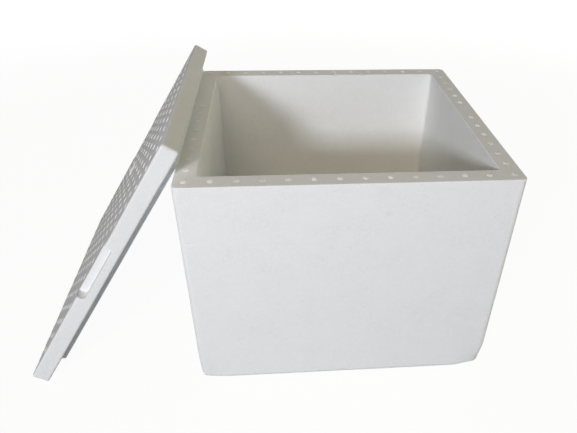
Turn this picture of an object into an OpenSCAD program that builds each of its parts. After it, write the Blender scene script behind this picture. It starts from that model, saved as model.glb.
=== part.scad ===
// Moulded white foam box, open, with its lid taken off and leaned against the left side.
// Millimetres, +Z up. The origin is the centre of the box's flat base. -Y is the front.

/* [Box] */
// Outside width at the rim, left to right
box_w = 400; // [360:5:600]
// Outside length at the rim, front to back
box_l = 385; // [250:5:600]
// Height from the base to the rim
box_h = 300; // [150:1:330]
// Thickness of the four walls
wall = 26; // [15:1:45]
// Thickness of the floor
floor_t = 28; // [15:1:50]
// Draft of the walls, so that the moulding leaves its tool
draft = 2; // [0:0.25:4]
// Radius of the upright outside corners
corner_r = 7.5; // [5:0.5:30]
// Radius of the edge around the base
foot_r = 8.5; // [3:0.5:20]
// Radius of the upright corners and the floor edge inside
cavity_r = 5; // [2:0.5:15]
// Rounding of the rim's inner and outer edges
rim_r = 1.5; // [0.5:0.5:4]

/* [Lid] */
// How far the lid's outline stays inside the rim's outline
lid_setback = 6; // [0:0.5:8]
// Thickness of the lid at its edge
lid_t = 22; // [15:1:40]
// Rounding of the lid's edges
lid_edge_r = 3; // [1:0.5:6]
// Depth of the plug that enters the mouth of the box
plug_depth = 7; // [4:0.5:15]
// Gap all round between the plug and the mouth
plug_clearance = 1.5; // [0.5:0.25:4]
// How much narrower the plug is at its lower face, each side
plug_taper = 1.5; // [0:0.25:4]

/* [Grip notches] */
// Length of the finger notch in the middle of the front and back edges
notch_len = 84; // [50:5:120]
// How far the notch goes in from the edge
notch_in = 14; // [8:1:22]
// Depth of the notch below the top face
notch_depth = 10.5; // [5:0.5:14]
// Radius of the notch's lower corners
notch_r = 5; // [2:0.5:5]

/* [Vent marks] */
// Diameter of the mark that a steam vent of the mould leaves
vent_d = 8; // [5:0.5:12]
// How far a vent mark stands proud
vent_h = 0.6; // [0.3:0.1:1.5]
// Usual distance between the marks along the rim
rim_vent_pitch = 28.6; // [20:0.2:60]
// Place of the blocked vent on the right rim, counted from the front
blocked_vent = 7; // [1:1:10]
// Usual distance between the marks on the lid
lid_vent_pitch = 27.7; // [20:0.1:60]
// Distance from the lid's edge to the middle of the outermost marks
lid_vent_margin = 13; // [10:1:60]
// Diameter of the mark that the filling gun leaves on the lid
fill_mark_d = 26; // [15:1:35]
// How far the filling mark stands proud
fill_mark_h = 1.2; // [0.4:0.2:3]
// Place of the filling mark, measured from the lid's middle along its width
fill_mark_x = 10; // [-100:1:100]
// Place of the filling mark, measured from the lid's middle along its length
fill_mark_y = 60; // [-140:1:140]

/* [Wear] */
// Height of the scuff on the front face
scuff_z = 224; // [60:1:260]
// Length of the scuff from the left edge
scuff_len = 32; // [10:1:80]
// Depth of the scuff at the left edge
scuff_depth = 0.9; // [0.3:0.1:2]
// Radius of the edge that pressed the scuff in
scuff_r = 4; // [2:0.5:8]
// Radius of the two chips in the rim's inner edge at the back
chip_r = 3.5; // [2:0.5:6]
// Place of the first chip across the box
chip_a_x = 16; // [-100:1:100]
// Place of the second chip across the box
chip_b_x = 58; // [-100:1:140]

/* [Resting place] */
// How far inside the plug's edge the leaning lid meets the rim
rim_bearing = 11.5; // [4:0.5:30]
// How far the lid stands back from the middle of the box
lid_shift = 14; // [-40:1:60]
// Gap left between the lid and the rim it leans on
lean_gap = 0.3; // [0.1:0.1:1]

/* [Hidden] */

foam_white = [0.93, 0.94, 0.94];
foam_lid = [0.90, 0.91, 0.90];
round_fn = 32;
arc_steps = 6;
vent_sides = 12;
bite = 1;
sliver = 0.01;

// The walls lean in by this much over a height
function inset(height) = height * tan(draft);

foot_inset = inset(box_h);
cavity_depth = box_h - floor_t;
mouth_x = box_w / 2 - wall;
mouth_y = box_l / 2 - wall;

// The chips are round hollows whose middle lies just above the rim
chip_lift = chip_r / 3;

lid_w = box_w - 2 * lid_setback;
lid_l = box_l - 2 * lid_setback;
plug_x = mouth_x - plug_clearance;
plug_y = mouth_y - plug_clearance;
plug_edge = lid_w / 2 - plug_x;
lid_corner_r = max(corner_r - lid_setback / 2, lid_edge_r + sliver);

// Rim vents stand on the middle line of the rim, evenly from corner to corner
vent_line_x = box_w / 2 - wall / 2;
vent_line_y = box_l / 2 - wall / 2;
rim_gaps_x = round(2 * vent_line_x / rim_vent_pitch);
rim_gaps_y = round(2 * vent_line_y / rim_vent_pitch);
rim_step_x = 2 * vent_line_x / rim_gaps_x;
rim_step_y = 2 * vent_line_y / rim_gaps_y;

// Lid vents are an even pattern from one outermost row to the other
lid_vent_x = lid_w / 2 - lid_vent_margin;
lid_vent_y = lid_l / 2 - lid_vent_margin;
lid_gaps_x = round(2 * lid_vent_x / lid_vent_pitch);
lid_gaps_y = round(2 * lid_vent_y / lid_vent_pitch);
lid_step_x = 2 * lid_vent_x / lid_gaps_x;
lid_step_y = 2 * lid_vent_y / lid_gaps_y;

// A lid vent would meet a notch or the filling mark there
function meets_notch(x, y) =
    abs(x) < (notch_len + vent_d) / 2 && abs(y) > lid_l / 2 - notch_in - vent_d / 2;
function meets_fill_mark(x, y) =
    norm([x - fill_mark_x, y - fill_mark_y]) < (fill_mark_d + vent_d) / 2;

// The lid stands on its lower edge and its plug bears on the left rim.
// The line from the middle of the foot's rounding to the middle of the rim's rounding
// is known in the lid and its rise is known in the box, which gives the lean.
span_x = lid_w - plug_edge - rim_bearing - lid_edge_r;
span_z = -(plug_depth + rim_r + lean_gap) - lid_edge_r;
rise = box_h - rim_r - lid_edge_r;
lean = asin(rise / norm([span_x, span_z])) - atan2(span_z, span_x);
foot_x = -(box_w / 2 - rim_r) - span_x * cos(lean) + span_z * sin(lean);

function arc(x, y, r, from, to) =
    [for (i = [0 : arc_steps]) let (a = from + (to - from) * i / arc_steps) [x + r * cos(a), y + r * sin(a)]];

// A disc with its lower and upper edges rounded
module soft_disc(r, h, low_r, high_r) {
    rotate_extrude($fn = round_fn)
        polygon(concat(
            [[0, 0]],
            arc(r - low_r, low_r, low_r, -90, 0),
            arc(r - high_r, h - high_r, high_r, 0, 90),
            [[0, h]]
        ));
}

// Places its child at the four corners of a rectangle whose sides are pulled in by r
module at_corners(half_x, half_y, r) {
    for (sx = [-1, 1], sy = [-1, 1])
        translate([sx * (half_x - r), sy * (half_y - r), 0])
            children();
}

module outer_form() {
    base_x = box_w / 2 - foot_inset;
    base_y = box_l / 2 - foot_inset;
    base_r = max(corner_r, foot_r + sliver);
    rim_z = box_h - 2 * rim_r;
    hull() {
        at_corners(base_x, base_y, base_r)
            soft_disc(base_r, foot_r + sliver, foot_r, sliver);
        translate([0, 0, rim_z])
            at_corners(box_w / 2, box_l / 2, corner_r)
                soft_disc(corner_r, 2 * rim_r, sliver, rim_r);
    }
}

module cavity_form() {
    base_inset = inset(cavity_depth);
    hull() {
        translate([0, 0, floor_t])
            at_corners(mouth_x - base_inset, mouth_y - base_inset, cavity_r)
                soft_disc(cavity_r, cavity_r, cavity_r - sliver, sliver);
        translate([0, 0, box_h])
            at_corners(mouth_x, mouth_y, cavity_r)
                cylinder(r = cavity_r, h = bite, $fn = round_fn);
    }
}

// Eases the inner edge of the rim with a slope of 45 degrees that starts inside the mouth
module mouth_ease() {
    hull()
        translate([0, 0, box_h - 2 * rim_r])
            at_corners(mouth_x, mouth_y, cavity_r)
                cylinder(
                    r1 = cavity_r - rim_r,
                    r2 = cavity_r + rim_r + bite,
                    h = 2 * rim_r + bite,
                    $fn = round_fn
                );
}

module vent_mark(d, h, sides) {
    translate([0, 0, -bite])
        cylinder(d = d, h = h + bite, $fn = sides);
}

module rim_vents() {
    translate([0, 0, box_h]) {
        for (i = [0 : rim_gaps_x], side = [-1, 1])
            translate([-vent_line_x + i * rim_step_x, side * vent_line_y, 0])
                vent_mark(vent_d, vent_h, vent_sides);
        for (i = [1 : rim_gaps_y - 1], side = [-1, 1])
            if (side < 0 || i != blocked_vent)
                translate([side * vent_line_x, -vent_line_y + i * rim_step_y, 0])
                    vent_mark(vent_d, vent_h, vent_sides);
    }
}

// A shallow groove that runs out to nothing, pressed into the leaning front face
module scuff() {
    stand_off = scuff_r - scuff_depth;
    face_y = -(box_l / 2 - inset(box_h - scuff_z));
    left_x = -(box_w / 2 - inset(box_h - scuff_z));
    translate([left_x - bite, face_y - stand_off, scuff_z])
        rotate([0, 90, 0])
            cylinder(r1 = scuff_r, r2 = stand_off, h = scuff_len + bite, $fn = round_fn);
}

module rim_chips() {
    for (x = [chip_a_x, chip_b_x])
        translate([x, mouth_y, box_h + chip_lift])
            sphere(r = chip_r, $fn = round_fn);
}

module box_body() {
    color(foam_white)
        difference() {
            union() {
                outer_form();
                rim_vents();
            }
            cavity_form();
            mouth_ease();
            scuff();
            rim_chips();
        }
}

module lid_plate() {
    hull()
        at_corners(lid_w / 2, lid_l / 2, lid_corner_r)
            soft_disc(lid_corner_r, lid_t, lid_edge_r, lid_edge_r);
}

module lid_plug() {
    hull() {
        translate([0, 0, -plug_depth])
            at_corners(plug_x - plug_taper, plug_y - plug_taper, cavity_r)
                soft_disc(cavity_r, plug_taper + sliver, plug_taper, sliver);
        at_corners(plug_x, plug_y, cavity_r)
            cylinder(r = cavity_r, h = bite, $fn = round_fn);
    }
}

// A slot with rounded lower corners, open at the lid's edge and top face
module grip_notch() {
    half = notch_len / 2;
    translate([0, -lid_l / 2 + notch_in, lid_t])
        rotate([90, 0, 0])
            linear_extrude(notch_in + bite)
                union() {
                    translate([-half, -notch_depth + notch_r])
                        square([notch_len, notch_depth - notch_r + bite]);
                    translate([-half + notch_r, -notch_depth])
                        square([notch_len - 2 * notch_r, notch_depth + bite]);
                    for (side = [-1, 1])
                        translate([side * (half - notch_r), -notch_depth + notch_r])
                            circle(r = notch_r, $fn = round_fn);
                }
}

module lid_vents() {
    translate([0, 0, lid_t])
        for (i = [0 : lid_gaps_x], j = [0 : lid_gaps_y]) {
            x = -lid_vent_x + i * lid_step_x;
            y = -lid_vent_y + j * lid_step_y;
            if (!meets_notch(x, y) && !meets_fill_mark(x, y))
                translate([x, y, 0])
                    vent_mark(vent_d, vent_h, vent_sides);
        }
    translate([fill_mark_x, fill_mark_y, lid_t])
        vent_mark(fill_mark_d, fill_mark_h, round_fn);
}

// The lid as it lies on the box: underside at z = 0, plug below it
module flat_lid() {
    difference() {
        union() {
            lid_plate();
            lid_plug();
            lid_vents();
        }
        grip_notch();
        mirror([0, 1, 0])
            grip_notch();
    }
}

module lid() {
    color(foam_lid)
        translate([foot_x, lid_shift, lid_edge_r])
            rotate([0, -lean, 0])
                translate([lid_w / 2 - lid_edge_r, 0, -lid_edge_r])
                    flat_lid();
}

box_body();
lid();
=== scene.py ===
"""A moulded foam box with its lid taken off and leaned on the left side, dressed around its solid model.

The file is laid out as an add-on: sizes and colours are properties, and each piece and the studio has an
operator. Lengths are metres. +Z is up and -Y is the front. A surface is a grid of points worked out as
whole arrays: rings around the piece, one for each station along its profile.
"""
import math

import bpy
import numpy as np
from bpy.props import FloatProperty, FloatVectorProperty, IntProperty, PointerProperty
from mathutils import Matrix, Vector


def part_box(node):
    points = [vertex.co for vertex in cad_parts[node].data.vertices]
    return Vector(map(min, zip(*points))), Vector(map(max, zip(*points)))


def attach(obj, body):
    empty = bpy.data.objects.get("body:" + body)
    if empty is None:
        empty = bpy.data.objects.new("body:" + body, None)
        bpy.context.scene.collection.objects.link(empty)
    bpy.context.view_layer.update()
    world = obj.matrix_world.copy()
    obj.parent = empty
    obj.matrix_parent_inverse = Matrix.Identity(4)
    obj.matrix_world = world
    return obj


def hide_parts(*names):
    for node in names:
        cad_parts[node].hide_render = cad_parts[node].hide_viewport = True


bl_info = {
    "name": "Moulded foam box",
    "version": (1, 0, 0),
    "blender": (4, 5, 0),
    "location": "3D View > Sidebar > Foam box",
    "description": "Makes a moulded foam box with its lid leaned on it, and the studio around it",
    "category": "Add Mesh",
}

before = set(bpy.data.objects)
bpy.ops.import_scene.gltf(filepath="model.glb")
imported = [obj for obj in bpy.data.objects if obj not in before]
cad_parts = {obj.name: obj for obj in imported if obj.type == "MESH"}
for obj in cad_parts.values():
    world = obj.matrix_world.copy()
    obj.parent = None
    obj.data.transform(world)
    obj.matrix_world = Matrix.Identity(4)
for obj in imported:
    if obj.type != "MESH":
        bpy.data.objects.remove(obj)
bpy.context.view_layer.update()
BOX_LOW, BOX_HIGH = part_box("box_body")
LID_LOW, LID_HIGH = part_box("lid")

MM = 0.001
QUARTER = 0.5 * math.pi
LAMP_AIM = Vector((0, 0, 0.2))
LAMP_DISTANCE = 2.8
LAMP_SHAPE = 0.75
SOLID_TOLERANCE = 1 * MM
ARC_STEPS = 12

# Corners in ring order, counterclockwise from above: front left, front right, back right, back left
CORNER_SIGNS = np.array([[-1, -1], [1, -1], [1, 1], [-1, 1]])
CORNER_STARTS = np.array([math.pi, 1.5 * math.pi, 0, 0.5 * math.pi])


def length(name, description, millimetres):
    """A property that holds a length, with its default given in millimetres."""
    return FloatProperty(
        name=name,
        description=description,
        default=millimetres * MM,
        unit="LENGTH",
        subtype="DISTANCE",
        precision=4,
    )


def share(name, description, default):
    """A property that holds a share from 0 to 1."""
    return FloatProperty(name=name, description=description, default=default, min=0, max=1, subtype="FACTOR")


def colour(name, description, default):
    """A property that holds a linear colour."""
    return FloatVectorProperty(
        name=name, description=description, default=default, size=3, subtype="COLOR", min=0, max=1
    )


def angle(name, description, default):
    """A property that holds an angle in radians."""
    return FloatProperty(name=name, description=description, default=default, subtype="ANGLE")


def power(name, description, default):
    """A property that holds a lamp's power in watts."""
    return FloatProperty(name=name, description=description, default=default, unit="POWER")


def place(name, description, default):
    """A property that holds a point in metres."""
    return FloatVectorProperty(
        name=name, description=description, default=default, size=3, subtype="XYZ", unit="LENGTH"
    )


class FoamBoxSizes(bpy.types.PropertyGroup):
    """The box moulding."""

    width: length("Width", "Outside width at the rim", (BOX_HIGH.x - BOX_LOW.x) / MM)
    depth: length("Depth", "Outside length at the rim, front to back", (BOX_HIGH.y - BOX_LOW.y) / MM)
    top: length("Top", "Height of the vent marks' tops above the base", BOX_HIGH.z / MM)
    wall: length("Wall", "Thickness of the walls", 26)
    floor: length("Floor", "Thickness of the floor", 28)
    draft: angle("Draft", "Lean of the walls", math.radians(2))
    corner: length("Corner", "Radius of the upright outside corners", 7.5)
    foot: length("Foot", "Radius of the edge around the base", 8.5)
    worn_right: length("Worn right corner", "How far the tip of the base's front right corner is worn", 5)
    worn_left: length("Worn left corner", "How far the tip of the base's front left corner is worn", 2.5)
    worn_reach: length("Worn reach", "How far from a corner's tip the wear goes", 44)
    cavity: length("Cavity corner", "Radius of the inside corners", 5)
    rim: length("Rim edge", "Rounding of the rim's edges", 1.5)
    scuff_height: length("Scuff height", "Height of the scuff on the front face", 224)
    scuff_length: length("Scuff length", "Length of the scuff from the left edge", 32)
    scuff_depth: length("Scuff depth", "Depth of the scuff at the left edge", 0.9)
    scuff_radius: length("Scuff radius", "Radius of the edge that pressed the scuff in", 4)
    chip: length("Chip", "Radius of the chips in the rim's inner edge", 3.5)
    chip_a: length("First chip", "Place of the first chip across the box", 16)
    chip_b: length("Second chip", "Place of the second chip across the box", 58)
    unevenness: length("Unevenness", "How far the faces sink in places", 0.25)


class FoamLidSizes(bpy.types.PropertyGroup):
    """The lid moulding and how it leans."""

    setback: length("Setback", "How far the lid's outline stays inside the rim's outline", 6)
    thickness: length("Thickness", "Thickness at the edge", 22)
    edge: length("Edge", "Rounding of the edges", 3)
    plug: length("Plug depth", "Depth of the plug below the lid", 7)
    clearance: length("Plug clearance", "Gap between the plug and the mouth", 1.5)
    taper: length("Plug taper", "How much narrower the plug is at its lower face", 1.5)
    notch_length: length("Notch length", "Length of a finger notch", 84)
    notch_in: length("Notch reach", "How far a notch goes in from the edge", 14)
    notch_depth: length("Notch depth", "Depth of a notch below the top face", 10.5)
    notch_corner: length("Notch corner", "Radius of a notch's lower corners", 5)
    bearing: length("Bearing", "How far inside the plug's edge the lid meets the rim", 11.5)
    shift: length("Shift", "How far the lid stands back from the box's middle", 14)
    gap: length("Gap", "Gap between the lid and the rim it leans on", 0.3)


class VentMarkSizes(bpy.types.PropertyGroup):
    """The marks that the mould's steam vents and its filling gun leave."""

    diameter: length("Diameter", "Diameter of a vent mark", 8)
    height: length("Height", "How far a vent mark stands proud", 0.6)
    ribs: IntProperty(name="Ribs", description="Ribs that the vent's slots leave", default=4, min=1, max=8)
    rim_pitch: length("Rim pitch", "Usual distance between the rim's marks", 28.6)
    blocked: IntProperty(
        name="Blocked", description="Place of the blocked vent on the right rim", default=7, min=0
    )
    lid_pitch: length("Lid pitch", "Usual distance between the lid's marks", 27.7)
    lid_margin: length("Lid margin", "Distance from the lid's edge to the middle of the outermost marks", 13)
    fill_diameter: length("Filling mark", "Diameter of the mark of the filling gun", 26)
    fill_height: length("Filling mark height", "How far the filling mark stands proud", 1.2)
    fill_x: length("Filling mark across", "Place of the filling mark along the lid's width", 10)
    fill_y: length("Filling mark along", "Place of the filling mark along the lid's length", 60)


class FoamFinish(bpy.types.PropertyGroup):
    """Colours and texture of the foam."""

    box_colour: colour("Box colour", "Colour of the box's skin", (0.91, 0.92, 0.92))
    lid_colour: colour("Lid colour", "Colour of the lid's skin", (0.87, 0.88, 0.88))
    # Painted shade: the lid's top face is painted darker than its sides, to a tone that the lamps don't give
    # it.
    lid_top_shade_painted: colour("Lid top colour", "Colour of the lid's shade_darkened top face", (0.69, 0.69, 0.7))
    # Partly the marks' own smoother, whiter skin and partly a painted highlight for the light that their ribs
    # catch.
    mark_whiteness_and_highlight: colour("Mark colour", "Colour of the smooth vent marks", (0.99, 0.99, 0.98))
    grime_colour: colour("Grime colour", "Colour of the smudges", (0.42, 0.41, 0.37))
    bead: length("Bead", "Size of a foam bead", 4.2)
    relief: length("Relief", "Depth of the outlines between the beads", 0.12)
    roughness: share("Roughness", "Roughness of the skin", 0.62)


class StudioLook(bpy.types.PropertyGroup):
    """Camera, lamps and floor."""

    camera: place("Camera", "Place of the camera", (-0.0894, -0.7677, 0.628))
    pitch: angle("Pitch", "Downward tilt of the view", 0.4963)
    yaw: angle("Yaw", "Turn of the view to the right", 0.0981)
    roll: angle("Roll", "Roll of the view", 0.0246)
    lens: FloatProperty(
        name="Lens", description="Focal length in millimetres on a 36 mm sensor", default=37.75
    )
    shift_x: FloatProperty(name="Shift across", description="Sideways shift of the view", default=-0.063)
    shift_y: FloatProperty(name="Shift up", description="Upward shift of the view", default=-0.076)
    floor_colour: colour("Floor colour", "Colour of the floor", (0.48, 0.48, 0.44))
    ambient_colour: colour("Ambient colour", "Colour of the light from all round", (1.0, 0.98, 0.92))
    ambient: FloatProperty(name="Ambient", description="Strength of the light from all round", default=0.03)
    key_colour: colour("Key colour", "Colour of the main lamp at the front left", (0.90, 0.93, 1.0))
    key_power: power("Key power", "Power of the main lamp", 36)
    front_colour: colour("Front colour", "Colour of the low lamp in front", (0.4, 0.52, 1.0))
    front_power: power("Front power", "Power of the low lamp in front", 9)
    high_colour: colour("High colour", "Colour of the high lamp in front", (1.0, 0.87, 0.62))
    high_power: power("High power", "Power of the high lamp in front", 21)
    right_colour: colour("Right colour", "Colour of the lamp at the right", (1.0, 0.96, 0.66))
    right_power: power("Right power", "Power of the lamp at the right", 17)
    back_colour: colour("Back colour", "Colour of the lamp behind", (1.0, 1.0, 1.0))
    back_power: power("Back power", "Power of the lamp behind", 26)


def graded_shares(span, coarse, fine=None, fine_spans=()):
    """Shares of a span for points between its ends. The points are spaced by coarse, and by fine inside the
    given spans: the running total of one over the spacing is divided evenly."""
    samples = 4000
    along = np.linspace(0, span, samples)
    rate = np.full_like(along, 1 / coarse)
    for low, high in fine_spans:
        rate[(along > low) & (along < high)] = 1 / fine
    total = np.concatenate([[0], np.cumsum(0.5 * (rate[1:] + rate[:-1]) * np.diff(along))])
    count = max(2, round(total[-1]))
    return np.interp(np.arange(1, count) / count * total[-1], total, along) / span


def ring_grid(centres, radii, heights, side_shares):
    """Rounded rectangles, one ring for each station. A corner's points are its centre plus its radius times
    the cosine and sine of an angle that runs through a quarter turn. The points between two corners divide
    the straight line from one arc's end to the next arc's start by the side's shares."""
    angles = CORNER_STARTS[:, None] + np.linspace(0, QUARTER, ARC_STEPS + 1)
    arcs = np.empty((len(centres), 4, ARC_STEPS + 1, 3))
    arcs[..., 0] = centres[..., None, 0] + radii[..., None] * np.cos(angles)
    arcs[..., 1] = centres[..., None, 1] + radii[..., None] * np.sin(angles)
    arcs[..., 2] = heights[..., None]
    parts = []
    for corner, shares in enumerate(side_shares):
        start = arcs[:, corner, -1]
        step = arcs[:, (corner + 1) % 4, 0] - start
        parts += [arcs[:, corner], start[:, None] + step[:, None] * np.atleast_2d(shares)[..., None]]
    return np.concatenate(parts, axis=1)


def towards(start, end, shares):
    """Stations from one value of every corner to another, at the given shares of the way."""
    start, end = np.asarray(start, float), np.asarray(end, float)
    shares = np.asarray(shares, float).reshape((-1,) + (1,) * start.ndim)
    return start + (end - start) * shares


def held(value, count):
    """The same value at every station."""
    return np.repeat(np.asarray(value, float)[None], count, axis=0)


class Profile:
    """Collects the stations of a profile: for each one the four corner centres, radii and heights."""

    def __init__(self):
        self.centres, self.radii, self.heights = [], [], []

    def add(self, centres, radii, heights):
        """Adds stations given as arrays of shape (n, 4, 2), (n, 4) and (n, 4)."""
        self.centres.append(centres)
        self.radii.append(radii)
        self.heights.append(heights)

    def grid(self, side_shares):
        """The grid of points of all stations."""
        centres, radii = np.concatenate(self.centres), np.concatenate(self.radii)
        return ring_grid(centres, radii, np.concatenate(self.heights), side_shares)


def corner_centres(half, radius):
    """Centres of the four corner arcs of a rounded rectangle with the given half sizes."""
    return CORNER_SIGNS * (np.asarray(half) - np.asarray(radius).reshape(-1, 1))


def shrunk(ring, shares):
    """Rings drawn in from one ring towards the middle of its face, at the given shares of its size."""
    middle = ring.mean(axis=0) * [0, 0, 1]
    return middle + (ring - middle)[None] * np.asarray(shares)[:, None, None]


def unevenness(points, wavelength, seed):
    """Gentle unevenness from 0 to 1: the sum of plane waves of about one wavelength in random directions."""
    draw = np.random.default_rng(seed)
    waves = 9
    directions = draw.normal(size=(waves, 3))
    directions /= np.linalg.norm(directions, axis=1, keepdims=True)
    lengths = wavelength * draw.uniform(0.6, 1.6, (waves, 1))
    phases = draw.uniform(0, 2 * math.pi, waves)
    total = np.cos(points @ (2 * math.pi * directions / lengths).T + phases).sum(axis=-1)
    return np.clip(0.5 + total / waves, 0, 1)


def sink(grid, depth):
    """Moves each point of a grid into the piece by a depth. The way out is the cross product of the step
    around the ring and the step along the profile."""
    around = np.roll(grid, -1, axis=1) - np.roll(grid, 1, axis=1)
    along = np.gradient(grid, axis=0)
    out = np.cross(around, along)
    out /= np.maximum(np.linalg.norm(out, axis=-1, keepdims=True), 1e-12)
    return grid - out * depth[..., None]


def closed_faces(rings, columns):
    """Faces of a grid of closed rings whose first and last points are poles: quads between neighbouring
    rings, and triangles from each pole to its ring. The poles are the first and the last vertex."""
    row, column = np.arange(rings - 1)[:, None], np.arange(columns)[None, :]
    following = (column + 1) % columns
    start, above = row * columns, (row + 1) * columns
    quads = [start + column, start + following, above + following, above + column]
    quads = 1 + np.stack(quads, axis=-1).reshape(-1, 4)
    ring, after = np.arange(columns), (np.arange(columns) + 1) % columns
    last = 1 + (rings - 1) * columns
    first_fan = np.stack([np.zeros(columns, int), 1 + after, 1 + ring], axis=-1)
    last_fan = np.stack([np.full(columns, last + columns), last + ring, last + after], axis=-1)
    return quads.tolist() + first_fan.tolist() + last_fan.tolist()


def with_poles(grid):
    """The points of a grid in one list, with the middle of its first ring before them and of its last ring
    after."""
    first, last = grid[0].mean(axis=0), grid[-1].mean(axis=0)
    return np.vstack([first, grid.reshape(-1, 3), last])


def vent_mark(radius, height, ribs):
    """One vent mark at the origin, and its faces: a low pad of twelve sides that slopes up from its edge,
    with ribs across it. A rib is a bar with sloping sides whose half length is what the pad's circle leaves
    at its place."""
    sunk, pad_height, pad_share = -0.1 * MM, 0.35 * height, 0.8
    sides = 12
    turn = np.linspace(0, 2 * math.pi, sides, endpoint=False)
    circle = np.stack([np.cos(turn), np.sin(turn)], axis=-1)
    lower = np.column_stack([radius * circle, np.full(sides, sunk)])
    upper = np.column_stack([pad_share * radius * circle, np.full(sides, pad_height)])
    ring, after = np.arange(sides), (np.arange(sides) + 1) % sides
    faces = np.stack([ring, after, after + sides, ring + sides], axis=-1).tolist()
    faces += [(ring + sides).tolist(), ring[::-1].tolist()]
    points = [lower, upper]
    rib_half, rib_top, slope = 0.7 * MM, 0.35 * MM, 0.9 * MM
    crest_height = 0.75 * height
    across = (np.arange(ribs) - 0.5 * (ribs - 1)) * (1.7 * radius / ribs)
    corners = np.array([[-1, -1], [1, -1], [1, 1], [-1, 1]])
    bar_faces = [[3, 2, 1, 0], [4, 5, 6, 7], [0, 1, 5, 4], [1, 2, 6, 5], [2, 3, 7, 6], [3, 0, 4, 7]]
    for number, middle in enumerate(across):
        reach = math.sqrt((0.9 * radius) ** 2 - middle**2)
        foot = corners * [reach, rib_half] + [0, middle]
        crest = corners * [reach - slope, rib_top] + [0, middle]
        points.append(np.column_stack([foot, np.full(4, sunk)]))
        points.append(np.column_stack([crest, np.full(4, crest_height)]))
        first = 2 * sides + 8 * number
        faces += [[first + corner for corner in face] for face in bar_faces]
    return np.vstack(points), faces


def repeated(points, faces, centres, angles):
    """Copies of a small mesh: each copy is turned about the upright axis by its angle and moved to its
    centre."""
    cosine, sine = np.cos(angles)[:, None], np.sin(angles)[:, None]
    copies = np.empty((len(centres), len(points), 3))
    copies[..., 0] = points[:, 0] * cosine - points[:, 1] * sine
    copies[..., 1] = points[:, 0] * sine + points[:, 1] * cosine
    copies[..., 2] = points[:, 2]
    copies += centres[:, None]
    firsts = range(0, len(centres) * len(points), len(points))
    all_faces = [[corner + first for corner in face] for first in firsts for face in faces]
    return copies.reshape(-1, 3), all_faces


def joined(parts):
    """Several meshes as one: their points in one list, their faces counted on, and a mark value for each
    point."""
    points, faces, marks = [], [], []
    count = 0
    for part_points, part_faces, mark in parts:
        points.append(part_points)
        faces += [[corner + count for corner in face] for face in part_faces]
        marks.append(np.full(len(part_points), mark))
        count += len(part_points)
    return np.vstack(points), faces, np.concatenate(marks)


def mesh_piece(name, points, faces, values, material, crease=math.radians(38)):
    """An object at the origin with the given points and faces, smooth but for edges sharper than the
    crease. The values are the piece's own attributes, by name, with one number for each point."""
    mesh = bpy.data.meshes.new(name)
    mesh.from_pydata(points.tolist(), [], faces)
    mesh.validate()
    mesh.shade_smooth()
    mesh.set_sharp_from_angle(angle=crease)
    for label, numbers in values.items():
        attribute = mesh.attributes.new(label, "FLOAT", "POINT")
        attribute.data.foreach_set("value", numbers.astype(np.float32))
    mesh.materials.append(material)
    piece = bpy.data.objects.new(name, mesh)
    bpy.context.scene.collection.objects.link(piece)
    return piece


def stands_in_place(piece, low, high):
    """Stops if a piece reaches outside the solid that it replaces, or falls short of it, by more than the
    tolerance."""
    points = np.empty(len(piece.data.vertices) * 3)
    piece.data.vertices.foreach_get("co", points)
    points = points.reshape(-1, 3)
    misses = np.abs([points.min(axis=0) - low, points.max(axis=0) - high])
    if misses.max() > SOLID_TOLERANCE:
        raise RuntimeError(f"{piece.name} misses its solid by {misses.max() / MM:.2f} mm: {misses}")


def scuffed(points, sizes, rim_height):
    """Presses the scuff into the front face: a point inside a cone that lies along the face moves back to
    the cone's surface. The cone's radius shrinks evenly from the left edge until it no longer reaches the
    face."""
    lean_in = (rim_height - sizes.scuff_height) * math.tan(sizes.draft)
    left = -sizes.width / 2 + lean_in
    axis_y = -sizes.depth / 2 + lean_in - (sizes.scuff_radius - sizes.scuff_depth)
    radius = sizes.scuff_radius - sizes.scuff_depth * (points[:, 0] - left) / sizes.scuff_length
    reach = radius**2 - (points[:, 2] - sizes.scuff_height) ** 2
    limit = axis_y + np.sqrt(np.maximum(reach, 0))
    inside = (reach > 0) & (points[:, 1] < limit) & (points[:, 0] < left + sizes.scuff_length)
    points[inside, 1] = limit[inside]


def chipped(points, centre, radius):
    """Breaks a chip out: a point inside a sphere moves straight out to its surface."""
    offset = points - centre
    distance = np.linalg.norm(offset, axis=1)
    inside = distance < radius
    points[inside] = centre + offset[inside] * (radius / distance[inside])[:, None]


def worn_corner(points, tip, depth, reach):
    """Wears a front corner of the base: a point near its tip moves towards the middle of the box along the
    corner's diagonal, by the depth at the tip and smoothly less until the reach."""
    diagonal = np.array([-np.sign(tip[0]), 1, 1]) / math.sqrt(3)
    nearness = np.clip(1 - np.linalg.norm(points - tip, axis=1) / reach, 0, 1)
    points += depth * (nearness**2 * (3 - 2 * nearness))[:, None] * diagonal


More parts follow.
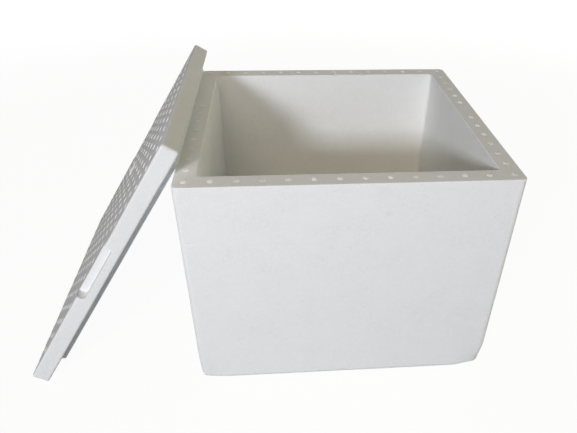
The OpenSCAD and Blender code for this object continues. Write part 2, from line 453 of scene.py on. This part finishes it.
def box_grid(sizes, rim_height):
    """The box as one closed surface. Its profile starts in the middle of the base, goes round the foot, up
    the leaning outer wall, over the rim, down the inner wall, round the floor's edge and ends in the
    floor's middle."""
    foot_stations, rim_stations, floor_stations = 9, 6, 7
    lean = math.tan(sizes.draft)
    top_half = np.array([sizes.width, sizes.depth]) / 2
    base_half = top_half - rim_height * lean
    mouth_half = top_half - sizes.wall
    cavity_depth = rim_height - sizes.floor
    floor_half = mouth_half - cavity_depth * lean

    plan = np.full(4, max(sizes.corner, sizes.foot))
    low = np.full(4, 0.99 * sizes.foot)
    top_radius = np.full(4, sizes.corner)
    inner_radius = np.full(4, sizes.cavity)
    base_centres = corner_centres(base_half, plan)
    top_centres = corner_centres(top_half, top_radius)
    mouth_centres = corner_centres(mouth_half, inner_radius)
    floor_centres = corner_centres(floor_half, inner_radius)
    wall_top = rim_height - sizes.rim

    profile = Profile()
    turn = np.linspace(-QUARTER, 0, foot_stations)[:, None]
    profile.add(held(base_centres, foot_stations), plan - low * (1 - np.cos(turn)), low * (1 + np.sin(turn)))
    span = wall_top - sizes.foot
    scuff_at = sizes.scuff_height - sizes.foot
    near_scuff = (scuff_at - 1.3 * sizes.scuff_radius, scuff_at + 1.3 * sizes.scuff_radius)
    shares = graded_shares(span, 9 * MM, 0.6 * MM, [(0, 2 * MM), near_scuff, (span - 2 * MM, span)])
    profile.add(
        towards(base_centres, top_centres, shares),
        towards(plan, top_radius, shares),
        towards(low, np.full(4, wall_top), shares),
    )
    turn = np.linspace(0, QUARTER, rim_stations)[:, None]
    profile.add(
        held(top_centres, rim_stations),
        top_radius - sizes.rim * (1 - np.cos(turn)),
        wall_top + sizes.rim * np.sin(turn) * np.ones(4),
    )
    shares = graded_shares(sizes.wall, 3 * MM, 0.8 * MM, [(0, 1.6 * MM), (sizes.wall - 7 * MM, sizes.wall)])
    profile.add(
        towards(top_centres, mouth_centres, shares),
        towards(top_radius - sizes.rim, inner_radius + sizes.rim, shares),
        held(np.full(4, rim_height), len(shares)),
    )
    turn = np.linspace(0, QUARTER, rim_stations)[:, None]
    profile.add(
        held(mouth_centres, rim_stations),
        inner_radius + sizes.rim * (1 - np.sin(turn)),
        rim_height - sizes.rim * (1 - np.cos(turn)) * np.ones(4),
    )
    edge = 0.85 * sizes.cavity
    inner_span = wall_top - sizes.floor - edge
    shares = graded_shares(inner_span, 12 * MM, 0.8 * MM, [(0, 5 * MM), (inner_span - 2 * MM, inner_span)])
    profile.add(
        towards(mouth_centres, floor_centres, shares),
        held(inner_radius, len(shares)),
        towards(np.full(4, wall_top), np.full(4, sizes.floor + edge), shares),
    )
    turn = np.linspace(0, QUARTER, floor_stations)[:, None]
    profile.add(
        held(floor_centres, floor_stations),
        inner_radius - edge * (1 - np.cos(turn)),
        sizes.floor + edge * (1 - np.sin(turn)) * np.ones(4),
    )

    back_right = top_half[0] - sizes.corner
    chips = [back_right - sizes.chip_a, back_right - sizes.chip_b]
    near_chips = [(chip - 9 * MM, chip + 9 * MM) for chip in chips]
    side_shares = [
        graded_shares(2 * back_right, 4 * MM, 1.4 * MM, [(0, sizes.scuff_length)]),
        graded_shares(sizes.depth, 5 * MM),
        graded_shares(2 * back_right, 5 * MM, 0.9 * MM, near_chips),
        graded_shares(sizes.depth, 5 * MM),
    ]
    grid = profile.grid(side_shares)
    inward = [0.98, 0.9, 0.65, 0.4, 0.15]
    grid = np.concatenate([shrunk(grid[0], inward[::-1]), grid, shrunk(grid[-1], inward)])
    broad = unevenness(grid, 90 * MM, seed=11)
    fine = unevenness(grid, 22 * MM, seed=12)
    return sink(grid, sizes.unevenness * (0.7 * broad + 0.3 * fine))


def rim_mark_centres(sizes, vents, rim_height):
    """Vent marks on the middle line of the rim, evenly from corner to corner, without the blocked one."""
    line_x, line_y = (sizes.width - sizes.wall) / 2, (sizes.depth - sizes.wall) / 2
    gaps_x, gaps_y = round(2 * line_x / vents.rim_pitch), round(2 * line_y / vents.rim_pitch)
    across = np.linspace(-line_x, line_x, gaps_x + 1)
    along = np.linspace(-line_y, line_y, gaps_y + 1)[1:-1]
    right = np.delete(along, vents.blocked - 1)
    rows = [
        np.column_stack([across, np.full(len(across), -line_y)]),
        np.column_stack([across, np.full(len(across), line_y)]),
        np.column_stack([np.full(len(along), -line_x), along]),
        np.column_stack([np.full(len(right), line_x), right]),
    ]
    places = np.vstack(rows)
    return np.column_stack([places, np.full(len(places), rim_height)])


def notch_paths(lid, floor_heights):
    """Two ways from a point on the lid's side to a point on its top face, with as many stations each: the
    plain one over the rounded edge, and the one through a notch, out at the floor's height, in along it and
    up the back wall. Each is a pair of arrays: distance in from the outline, and height. The notch's arrays
    have a column for each floor height."""
    ease = 0.8 * MM
    fillet = 1.2 * MM
    reach, top = lid.notch_in, lid.thickness
    turn = np.linspace(0, QUARTER, 4)
    plain_in = np.concatenate(
        [
            [0, 0],
            np.zeros(2),
            lid.edge * (1 - np.cos(np.linspace(0, QUARTER, 6)[1:])),
            np.linspace(lid.edge, reach + ease, 11)[1:],
        ]
    )
    plain_up = np.concatenate(
        [
            [top - lid.notch_depth - 2 * MM, top - lid.notch_depth],
            np.linspace(top - lid.notch_depth, top - lid.edge, 3)[1:],
            top - lid.edge * (1 - np.sin(np.linspace(0, QUARTER, 6)[1:])),
            np.full(10, top),
        ]
    )
    ones = np.ones_like(floor_heights)
    notch_in = np.concatenate(
        [
            [0 * ones],
            np.outer(ease * (1 - np.cos(turn)), ones),
            np.outer([0.25 * reach, 0.5 * reach, 0.75 * reach], ones),
            np.outer(reach - fillet * (1 - np.sin(turn)), ones),
            np.outer([reach, reach, reach], ones),
            np.outer(reach + ease * (1 - np.cos(turn)), ones),
        ]
    )
    wall_foot, wall_head = floor_heights + fillet, top - ease
    notch_up = np.concatenate(
        [
            [(top - lid.notch_depth - 2 * MM) * ones],
            floor_heights - ease * (1 - np.sin(turn))[:, None],
            np.outer(np.ones(3), floor_heights),
            floor_heights + fillet * (1 - np.cos(turn))[:, None],
            wall_foot + (wall_head - wall_foot) * np.array([0.25, 0.5, 0.75])[:, None],
            wall_head + ease * np.outer(np.sin(turn), ones),
        ]
    )
    return (plain_in, plain_up), (notch_in, notch_up)


def lid_grid(sizes, lid):
    """The lid as it lies flat, as one closed surface: underside at height 0 and plug below it. The profile
    starts in the middle of the plug, goes round the plug, out under the flange, up the side, over the edge
    and to the middle of the top face. In the two notches the side and edge take the way through the notch."""
    half = np.array([sizes.width, sizes.depth]) / 2 - lid.setback
    plug_half = np.array([sizes.width, sizes.depth]) / 2 - sizes.wall - lid.clearance
    least = 0.5 * MM
    corner = max(sizes.corner - lid.setback / 2, lid.edge + least)

    profile = Profile()

    def add_outline(half_sizes, radii, heights):
        centres = CORNER_SIGNS * (half_sizes - radii[:, None])[:, None]
        each_corner = np.ones(4)
        profile.add(centres, radii[:, None] * each_corner, heights[:, None] * each_corner)

    def add_inside(distances, heights):
        radii = np.maximum(corner - distances, least)
        add_outline(half - distances[:, None], radii, heights)

    turn = np.linspace(-QUARTER, 0, 6)
    drawn_in = lid.taper * (1 - np.cos(turn))
    add_outline(
        plug_half - lid.taper - drawn_in[:, None],
        sizes.cavity - drawn_in,
        -lid.plug + lid.taper * (1 + np.sin(turn)),
    )
    shares = np.linspace(0, 1, 5)[1:]
    add_outline(
        plug_half - lid.taper * (1 - shares)[:, None],
        np.full(4, sizes.cavity),
        towards(-lid.plug + lid.taper, 0, shares).ravel(),
    )
    shares = np.linspace(0, 1, 7)[1:-1]
    add_outline(
        towards(plug_half, half - lid.edge, shares),
        towards(sizes.cavity, corner - lid.edge, shares).ravel(),
        0 * shares,
    )
    turn = np.linspace(-QUARTER, 0, 7)
    add_inside(lid.edge * (1 - np.cos(turn)), lid.edge * (1 + np.sin(turn)))
    add_inside(np.zeros(2), np.array([lid.edge + 1 * MM, lid.thickness / 3]))

    # Columns across the front and back stay in place near the notch, whatever ring they are on
    notch_half = lid.notch_length / 2
    kept = notch_half + 8 * MM
    round_from = notch_half - lid.notch_corner
    rounded = round_from + lid.notch_corner * np.sin(np.linspace(0, 0.47 * math.pi, 7))
    spacing = 6 * MM
    inner, outer = np.linspace(0, round_from, 7)[1:-1], np.arange(kept, half[0] - corner, spacing)
    one_side = np.concatenate([inner, rounded, [notch_half], outer])
    columns = np.concatenate([-one_side[::-1], [0], one_side])
    heights_above = lid.notch_corner - np.sqrt(
        np.maximum(lid.notch_corner**2 - np.maximum(np.abs(columns) - round_from, 0) ** 2, 0)
    )
    plain, notch = notch_paths(lid, lid.thickness - lid.notch_depth + heights_above)
    path_start = sum(len(block) for block in profile.centres)
    add_inside(*plain)
    path_end = sum(len(block) for block in profile.centres)
    add_inside(np.linspace(lid.notch_in + 3 * MM, 70 * MM, 8), np.full(8, lid.thickness))

    half_lengths = np.concatenate(profile.centres)[:, 2, 0]
    stretch = (half_lengths[:, None] - kept) / (half[0] - corner - kept)
    stretched = np.sign(columns) * (kept + (np.abs(columns) - kept) * stretch)
    spread = np.where(np.abs(columns) <= kept, columns, stretched)
    across = (spread + half_lengths[:, None]) / (2 * half_lengths[:, None])
    along = graded_shares(sizes.depth, spacing)
    grid = profile.grid([across, along, across, along])

    arc_points = ARC_STEPS + 1
    front = arc_points + np.arange(len(columns))
    back = front + 2 * arc_points + len(columns) + len(along)
    within = np.abs(columns) < notch_half - 1e-6
    for place_columns, side, order in ((front, -1, slice(None)), (back, 1, slice(None, None, -1))):
        ways_in, ways_up = notch[0][:, order][:, within], notch[1][:, order][:, within]
        chosen = place_columns[within]
        rows = np.arange(path_start, path_end)[:, None]
        grid[rows, chosen, 1] = side * (half[1] - ways_in)
        grid[rows, chosen, 2] = ways_up
    below, above = shrunk(grid[0], [0.15, 0.45, 0.75, 0.97]), shrunk(grid[-1], [0.75, 0.45, 0.15])
    grid = np.concatenate([below, grid, above])
    return sink(grid, sizes.unevenness * unevenness(grid, 70 * MM, seed=21))


def lid_mark_centres(sizes, lid, vents):
    """An even pattern of vent marks from one outermost row to the other, without those that would meet a
    notch or the filling mark."""
    rows = []
    for extent in (sizes.width, sizes.depth):
        outermost = extent / 2 - lid.setback - vents.lid_margin
        gaps = round(2 * outermost / vents.lid_pitch)
        rows.append(np.linspace(-outermost, outermost, gaps + 1))
    across, along = (values.ravel() for values in np.meshgrid(*rows, indexing="ij"))
    at_notch = (np.abs(across) < (lid.notch_length + vents.diameter) / 2) & (
        np.abs(along) > sizes.depth / 2 - lid.setback - lid.notch_in - vents.diameter / 2
    )
    reach = (vents.fill_diameter + vents.diameter) / 2
    at_fill = np.hypot(across - vents.fill_x, along - vents.fill_y) < reach
    clear = ~at_notch & ~at_fill
    return np.column_stack([across, along, np.full(across.size, lid.thickness)])[clear]


def filling_mark(radius, height):
    """The filling gun's mark at the origin, and its faces: a profile of distance and height turned about
    the upright axis, with a raised rim around a rough, lower disc."""
    steps = 40
    distances = np.array([1, 0.985, 0.93, 0.86, 0.8, 0.5, 0.2]) * radius
    heights = np.array([-0.4, 0.6, 1, 0.9, 0.35, 0.3, 0.4]) * height
    turn = np.linspace(0, 2 * math.pi, steps, endpoint=False)
    grid = np.empty((len(distances), steps, 3))
    grid[..., 0] = distances[:, None] * np.cos(turn)
    grid[..., 1] = distances[:, None] * np.sin(turn)
    grid[..., 2] = heights[:, None]
    return with_poles(grid), closed_faces(len(distances), steps)


def leaned(points, sizes, lid, rim_height):
    """Moves points of the flat lid to where it leans. The line from the middle of the foot's rounding to
    the middle of the rim's rounding is known in the lid, and its rise is known in the box: the lean is the
    arc sine of the rise over that line's length, less the line's own slope."""
    lid_width = sizes.width - 2 * lid.setback
    plug_edge = lid_width / 2 - (sizes.width / 2 - sizes.wall - lid.clearance)
    span_x = lid_width - plug_edge - lid.bearing - lid.edge
    span_z = -(lid.plug + sizes.rim + lid.gap) - lid.edge
    rise = rim_height - sizes.rim - lid.edge
    lean = math.asin(rise / math.hypot(span_x, span_z)) - math.atan2(span_z, span_x)
    foot_x = -(sizes.width / 2 - sizes.rim) - span_x * math.cos(lean) + span_z * math.sin(lean)
    stand = Matrix.Translation((foot_x, lid.shift, lid.edge)) @ Matrix.Rotation(-lean, 4, "Y")
    stand = np.array(stand @ Matrix.Translation((lid_width / 2 - lid.edge, 0, -lid.edge)))
    return points @ stand[:3, :3].T + stand[:3, 3]


class Wire:
    """A socket of a node tree that maths can be written with. Operators on values add Math nodes."""

    def __init__(self, tree, socket):
        self.tree = tree
        self.socket = socket

    def node(self, kind, settings=None, output=0, **inputs):
        """Adds a node of a type. Its settings are set first, then its sockets' values or links. A socket is
        named by its name with _ for a space, or by its number after an n. The output's wire comes back."""
        return add_node(self.tree, kind, settings, output, **inputs)

    def maths(self, operation, *values):
        """Adds a Math node."""
        inputs = {f"n{number}": value for number, value in enumerate(values)}
        return self.node("ShaderNodeMath", {"operation": operation}, **inputs)

    def __add__(self, other):
        return self.maths("ADD", self, other)

    def __radd__(self, other):
        return self.maths("ADD", other, self)

    def __sub__(self, other):
        return self.maths("SUBTRACT", self, other)

    def __rsub__(self, other):
        return self.maths("SUBTRACT", other, self)

    def __mul__(self, other):
        return self.maths("MULTIPLY", self, other)

    def __rmul__(self, other):
        return self.maths("MULTIPLY", other, self)

    def most(self, other):
        """The larger of two values."""
        return self.maths("MAXIMUM", self, other)

    def eased(self, low, high):
        """0 below low and 1 above high, smooth between."""
        settings = {"interpolation_type": "SMOOTHSTEP"}
        return self.node("ShaderNodeMapRange", settings, Value=self, From_Min=low, From_Max=high)

    def far_from(self, point):
        """Distance of this position from a point."""
        settings = {"operation": "DISTANCE"}
        return self.node("ShaderNodeVectorMath", settings, "Value", n0=self, n1=tuple(point))


def add_node(tree, kind, settings=None, output=0, **inputs):
    """Adds a node with its settings, values and links, and gives the wire of one output."""
    node = tree.nodes.new(kind)
    for name, value in (settings or {}).items():
        setattr(node, name, value)
    for name, value in inputs.items():
        numbered = name[0] == "n" and name[1:].isdigit()
        socket = node.inputs[int(name[1:]) if numbered else name.replace("_", " ")]
        if isinstance(value, Wire):
            tree.links.new(value.socket, socket)
        else:
            socket.default_value = value
    return Wire(tree, node.outputs[output]) if node.outputs else None


def mixed(factor, first, second):
    """A colour between two colours. In a colour Mix node the factor is socket 0 and the colours are 6 and
    7."""
    settings = {"data_type": "RGBA", "clamp_factor": True}
    colours = [value if isinstance(value, Wire) else (*value, 1) for value in (first, second)]
    return factor.node("ShaderNodeMix", settings, 2, n0=factor, n6=colours[0], n7=colours[1])


def new_material(name):
    """An empty node material and its tree."""
    material = bpy.data.materials.new(name)
    material.use_nodes = True
    material.node_tree.nodes.clear()
    return material, material.node_tree


def show(tree, shader):
    """Links a shader to the material's output."""
    add_node(tree, "ShaderNodeOutputMaterial", Surface=shader)


def foam_material(name, skin, shaded_top_colour, finish, smudges):
    """Moulded bead foam: beads that are pressed flat against each other, with fine sunk outlines that fade
    where the beads fused well, a little difference from bead to bead, smooth vent marks painted whiter,
    partly their own colour and partly a painted highlight, and grey smudges.
    The top face can have a colour of its own; on the lid it is painted shade, darker than the sides. A smudge
    is a centre, a radius and a strength."""
    material, tree = new_material(name)
    position = add_node(tree, "ShaderNodeTexCoord", None, "Object")
    beads = {"voronoi_dimensions": "3D", "feature": "F1"}
    outlines = {"voronoi_dimensions": "3D", "feature": "DISTANCE_TO_EDGE"}
    cells = {"Vector": position, "Scale": 1 / finish.bead, "Randomness": 0.8}
    edge = position.node("ShaderNodeTexVoronoi", outlines, "Distance", **cells)
    bead_tint = position.node("ShaderNodeTexVoronoi", beads, "Color", **cells)
    bead_value = position.node("ShaderNodeSeparateColor", None, "Red", Color=bead_tint)
    patches = position.node("ShaderNodeTexNoise", None, "Fac", Vector=position, Scale=28, Detail=3)
    grain = position.node("ShaderNodeTexNoise", None, "Fac", Vector=position, Scale=1400, Detail=2)
    mark = position.node("ShaderNodeAttribute", {"attribute_name": "vent_mark"}, "Fac")

    seam = (1 - edge.eased(0.0, 0.09)) * patches.eased(0.3, 0.7) * (1 - 0.8 * mark)
    dome = edge.eased(0.0, 0.4)
    pits = (1 - edge.eased(0.0, 0.05)) * grain.eased(0.55, 0.7)

    grime = 0.25 * patches.eased(0.62, 0.9)
    for centre, radius, strength in smudges:
        spot = 1 - position.far_from(centre).eased(0.25 * radius, radius)
        grime = grime.most(strength * spot * (0.4 + 0.6 * patches.eased(0.3, 0.65)))

    top = position.node("ShaderNodeAttribute", {"attribute_name": "top_face"}, "Fac")
    # Where top_face is 1 the top colour replaces the skin; on the lid that is painted shade, darker than the
    # sides.
    skin = mixed(top, skin, shaded_top_colour)
    tint = mixed(0.035 * bead_value + 0.1 * seam + 0.12 * pits, skin, finish.grime_colour)
    # The vent marks are painted whiter: partly their own smoother skin, partly a painted highlight for the
    # light their ribs catch.
    tint = mixed(mark, tint, finish.mark_whiteness_and_highlight)
    tint = mixed(0.35 * grime, tint, finish.grime_colour)
    height = 0.55 * dome - 0.6 * seam - 0.4 * pits + 0.12 * grain
    normal = position.node("ShaderNodeBump", None, 0, Strength=0.4, Distance=finish.relief, Height=height)
    roughness = finish.roughness + 0.12 * patches - 0.1 * mark + 0.08 * seam
    shader = position.node(
        "ShaderNodeBsdfPrincipled",
        None,
        0,
        Base_Color=tint,
        Roughness=roughness,
        Specular_IOR_Level=0.1,
        Normal=normal,
    )
    show(tree, shader)
    return material


def floor_material(look):
    """A pale floor that the camera sees as white where it is lit and that keeps the object's shadow: rays
    that come from the camera, or by way of gloss or glass, get mostly light of its own, and far out nothing
    else."""
    material, tree = new_material("studio_floor")
    seen = add_node(tree, "ShaderNodeLightPath", None, "Is Camera Ray")
    glossy = Wire(tree, seen.socket.node.outputs["Is Glossy Ray"])
    through = Wire(tree, seen.socket.node.outputs["Is Transmission Ray"])
    direct = seen.most(glossy).most(through)
    diffuse = seen.node("ShaderNodeBsdfDiffuse", None, 0, Color=(*look.floor_colour, 1))
    own_strength, least_share = 1.055, 0.9
    own = seen.node("ShaderNodeEmission", None, 0, Color=(1, 1, 1, 1), Strength=own_strength)
    position = add_node(tree, "ShaderNodeTexCoord", None, "Object")
    own_share = least_share + (1 - least_share) * position.far_from((0, 0, 0)).eased(1.0, 2.6)
    show(tree, seen.node("ShaderNodeMixShader", None, 0, Fac=own_share * direct, n1=diffuse, n2=own))
    return material


def light_world(look):
    """Even light from all round, and white for what the camera, gloss or glass sees past the floor."""
    world = bpy.data.worlds.new("studio_world")
    bpy.context.scene.world = world
    world.use_nodes = True
    tree = world.node_tree
    tree.nodes.clear()
    seen = add_node(tree, "ShaderNodeLightPath", None, "Is Camera Ray")
    glossy = Wire(tree, seen.socket.node.outputs["Is Glossy Ray"])
    through = Wire(tree, seen.socket.node.outputs["Is Transmission Ray"])
    direct = seen.most(glossy).most(through)
    ambient_colour = (*look.ambient_colour, 1)
    ambient = seen.node("ShaderNodeBackground", None, 0, Color=ambient_colour, Strength=look.ambient)
    white = seen.node("ShaderNodeBackground", None, 0, Color=(1, 1, 1, 1), Strength=1.0)
    mix = seen.node("ShaderNodeMixShader", None, 0, Fac=direct, n1=ambient, n2=white)
    add_node(tree, "ShaderNodeOutputWorld", Surface=mix)


def soft_lamp(name, azimuth, elevation, size, watts, tint):
    """A soft rectangular lamp that points at the object from LAMP_DISTANCE away. The azimuth is the angle
    from the front towards the right, and both angles are in degrees."""
    turn, climb = math.radians(azimuth), math.radians(elevation)
    way = Vector((math.sin(turn) * math.cos(climb), -math.cos(turn) * math.cos(climb), math.sin(climb)))
    lamp = bpy.data.lights.new(name, "AREA")
    lamp.shape = "RECTANGLE"
    lamp.size, lamp.size_y = size, LAMP_SHAPE * size
    lamp.energy = watts
    lamp.color = tint
    holder = bpy.data.objects.new(name, lamp)
    bpy.context.scene.collection.objects.link(holder)
    holder.location = LAMP_AIM + way * LAMP_DISTANCE
    holder.rotation_euler = (-way).to_track_quat("-Z", "Y").to_euler()


def add_camera(look):
    """The camera, turned from a level view along +Y by yaw, pitch and roll."""
    data = bpy.data.cameras.new("camera")
    data.sensor_width = 36
    data.lens = look.lens
    data.shift_x, data.shift_y = look.shift_x, look.shift_y
    data.clip_end = 50
    camera = bpy.data.objects.new("camera", data)
    bpy.context.scene.collection.objects.link(camera)
    turn = Matrix.Rotation(-look.yaw, 4, "Z") @ Matrix.Rotation(QUARTER - look.pitch, 4, "X")
    camera.matrix_world = Matrix.Translation(look.camera) @ turn @ Matrix.Rotation(look.roll, 4, "Z")
    bpy.context.scene.camera = camera


class FOAMBOX_OT_box(bpy.types.Operator):
    """Make the box with the vent marks on its rim"""

    bl_idname = "foambox.box"
    bl_label = "Box"

    def execute(self, context):
        scene = context.scene
        sizes, vents, finish = scene.foam_box, scene.foam_vents, scene.foam_finish
        rim_height = sizes.top - vents.height
        grid = box_grid(sizes, rim_height)
        points = with_poles(grid)
        scuffed(points, sizes, rim_height)
        base_x, base_y = np.array([sizes.width, sizes.depth]) / 2 - rim_height * math.tan(sizes.draft)
        worn_corner(points, np.array([base_x, -base_y, 0]), sizes.worn_right, sizes.worn_reach)
        worn_corner(points, np.array([-base_x, -base_y, 0]), sizes.worn_left, sizes.worn_reach)
        mouth_y = sizes.depth / 2 - sizes.wall
        for chip_x in (sizes.chip_a, sizes.chip_b):
            chipped(points, np.array([chip_x, mouth_y, rim_height + sizes.chip / 3]), sizes.chip)
        centres = rim_mark_centres(sizes, vents, rim_height)
        angles = np.random.default_rng(31).uniform(0, math.pi, len(centres))
        marks = repeated(*vent_mark(vents.diameter / 2, vents.height, vents.ribs), centres, angles)
        front_y = -sizes.depth / 2
        smudges = [
            ((-0.009, front_y, 0.188), 0.006, 0.5),
            ((0.004, front_y, 0.189), 0.005, 0.4),
            ((-0.023, front_y, 0.213), 0.006, 0.35),
            ((0.042, front_y, 0.259), 0.006, 0.35),
            ((0.182, front_y + 0.012, 0.016), 0.012, 0.8),
        ]
        skin = tuple(finish.box_colour)
        material = foam_material("box_foam", skin, skin, finish, smudges)
        parts = [(points, closed_faces(*grid.shape[:2]), 0.0), (*marks, 1.0)]
        points, faces, mark_values = joined(parts)
        piece = mesh_piece("foam_box", points, faces, {"vent_mark": mark_values}, material)
        stands_in_place(piece, BOX_LOW, BOX_HIGH)
        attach(piece, "root")
        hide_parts("box_body")
        return {"FINISHED"}


class FOAMBOX_OT_lid(bpy.types.Operator):
    """Make the lid, leaned on the box's left rim"""

    bl_idname = "foambox.lid"
    bl_label = "Lid"

    def execute(self, context):
        scene = context.scene
        sizes, lid, vents, finish = scene.foam_box, scene.foam_lid, scene.foam_vents, scene.foam_finish
        rim_height = sizes.top - vents.height
        grid = lid_grid(sizes, lid)
        centres = lid_mark_centres(sizes, lid, vents)
        angles = np.random.default_rng(32).normal(0, 0.1, len(centres))
        marks = repeated(*vent_mark(vents.diameter / 2, vents.height, vents.ribs), centres, angles)
        fill_points, fill_faces = filling_mark(vents.fill_diameter / 2, vents.fill_height)
        fill_points = fill_points + [vents.fill_x, vents.fill_y, lid.thickness]
        plate = (with_poles(grid), closed_faces(*grid.shape[:2]), 0.0)
        parts = [plate, (*marks, 1.0), (fill_points, fill_faces, 0.8)]
        points, faces, mark_values = joined(parts)
        top_values = np.clip((points[:, 2] - (lid.thickness - 0.8 * MM)) / (0.5 * MM), 0, 1)
        points = leaned(points, sizes, lid, rim_height)
        # The lid's top colour is painted shade that makes its top face darker than its sides.
        skin, shaded_top_colour = tuple(finish.lid_colour), tuple(finish.lid_top_shade_painted)
        material = foam_material("lid_foam", skin, shaded_top_colour, finish, [])
        values = {"vent_mark": mark_values, "top_face": top_values}
        piece = mesh_piece("foam_lid", points, faces, values, material)
        stands_in_place(piece, LID_LOW, LID_HIGH)
        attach(piece, "root")
        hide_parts("lid")
        return {"FINISHED"}


class FOAMBOX_OT_studio(bpy.types.Operator):
    """Make the floor, the lamps and the camera"""

    bl_idname = "foambox.studio"
    bl_label = "Studio"

    def execute(self, context):
        look = context.scene.foam_studio
        context.scene.view_settings.view_transform = "Standard"
        reach, below = 8.0, 0.0002
        corners = [(*sign, -below) for sign in (reach * CORNER_SIGNS).tolist()]
        mesh = bpy.data.meshes.new("studio_floor")
        mesh.from_pydata(corners, [], [(0, 1, 2, 3)])
        mesh.materials.append(floor_material(look))
        floor = bpy.data.objects.new("studio_floor", mesh)
        context.scene.collection.objects.link(floor)
        light_world(look)
        lamps = (
            ("key", -28, 18.5, 0.45),
            ("front", -8, 12, 1.5),
            ("high", -12, 40, 1.5),
            ("right", 90, 15, 1.5),
            ("back", 175, 9, 1.5),
        )
        for name, azimuth, elevation, size in lamps:
            watts, tint = getattr(look, f"{name}_power"), getattr(look, f"{name}_colour")
            soft_lamp(f"{name}_lamp", azimuth, elevation, size, watts, tint)
        add_camera(look)
        return {"FINISHED"}


class FOAMBOX_PT_panel(bpy.types.Panel):
    """The foam box's tools"""

    bl_idname = "FOAMBOX_PT_panel"
    bl_label = "Foam box"
    bl_space_type = "VIEW_3D"
    bl_region_type = "UI"
    bl_category = "Foam box"

    def draw(self, context):
        for operator in OPERATORS:
            self.layout.operator(operator.bl_idname)
        for holder in PROPERTIES:
            column = self.layout.column()
            settings = getattr(context.scene, holder)
            for name in settings.bl_rna.properties.keys():
                if name not in {"rna_type", "name"}:
                    column.prop(settings, name)


PROPERTIES = {
    "foam_box": FoamBoxSizes,
    "foam_lid": FoamLidSizes,
    "foam_vents": VentMarkSizes,
    "foam_finish": FoamFinish,
    "foam_studio": StudioLook,
}
OPERATORS = (FOAMBOX_OT_box, FOAMBOX_OT_lid, FOAMBOX_OT_studio)
CLASSES = (*PROPERTIES.values(), *OPERATORS, FOAMBOX_PT_panel)


def register():
    """Registers the classes and hangs the properties on the scene."""
    for cls in CLASSES:
        bpy.utils.register_class(cls)
    for name, group in PROPERTIES.items():
        setattr(bpy.types.Scene, name, PointerProperty(type=group))


def unregister():
    """Takes the properties and classes away again."""
    for name in PROPERTIES:
        delattr(bpy.types.Scene, name)
    for cls in reversed(CLASSES):
        bpy.utils.unregister_class(cls)


def main():
    """Makes the pieces and the studio."""
    register()
    bpy.ops.foambox.box()
    bpy.ops.foambox.lid()
    bpy.ops.foambox.studio()


if __name__ == "__main__":
    main()
